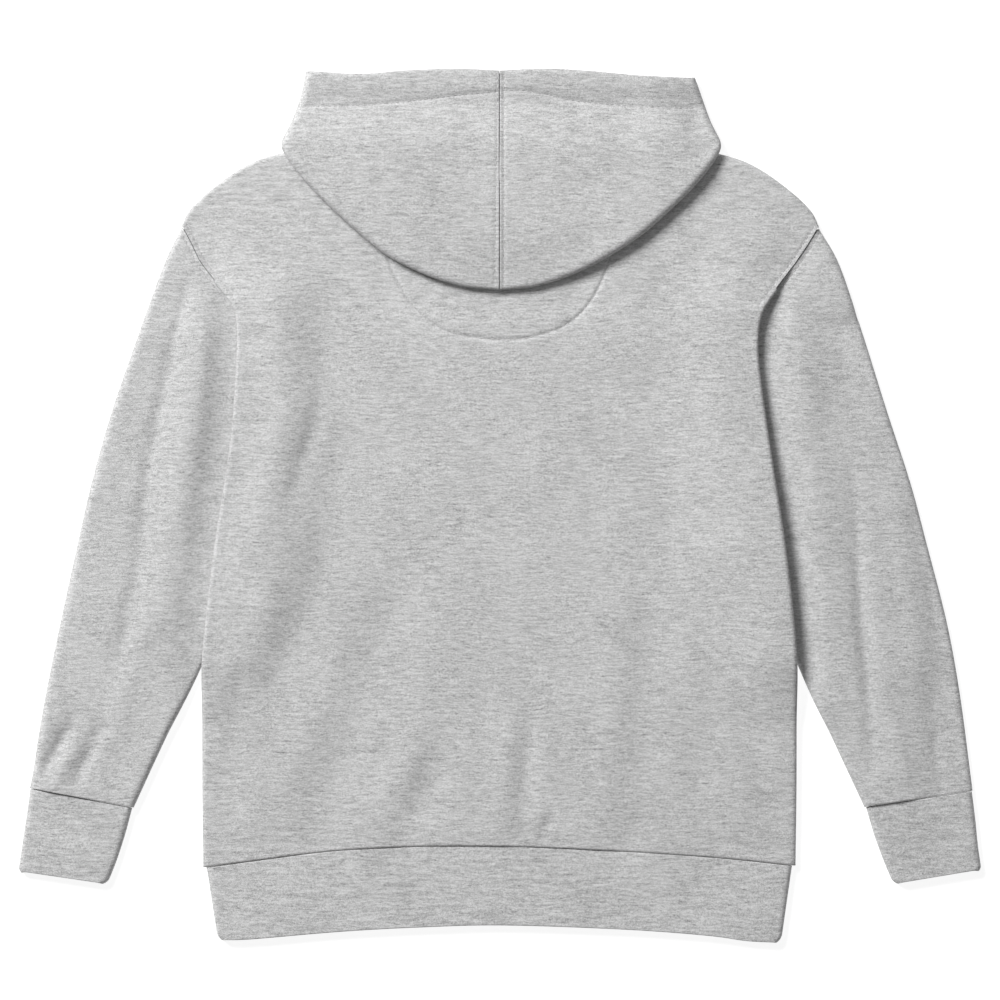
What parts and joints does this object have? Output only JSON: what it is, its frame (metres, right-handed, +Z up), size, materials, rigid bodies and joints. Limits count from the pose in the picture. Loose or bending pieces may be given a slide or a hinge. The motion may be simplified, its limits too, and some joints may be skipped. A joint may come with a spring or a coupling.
{
  "type": "toddler pullover hoodie, laid flat",
  "caption": "Toddler's fleece pullover hoodie laid flat on its front, hood down on the back, with banded cuffs and hem.",
  "frame": {"origin": "middle of the bounding box's underside, on the surface that the hoodie lies on", "axes": "+X to the wearer's right side, as the back is seen from above; +Y from the hem towards the hood; +Z up, out of the back"},
  "size_m": [0.5586, 0.5062, 0.0156],
  "materials": {
    "fleece": "heather grey brushed fleece, matt",
    "band": "heather grey band knit, matt"
  },
  "bodies": {
    "root": {"front": "fleece", "back": "fleece", "sleeve_left": "fleece", "sleeve_right": "fleece", "cuff_left": "band", "cuff_right": "band", "waistband": "band", "hood_left": "fleece", "hood_right": "fleece"}
  },
  "joints": []
}
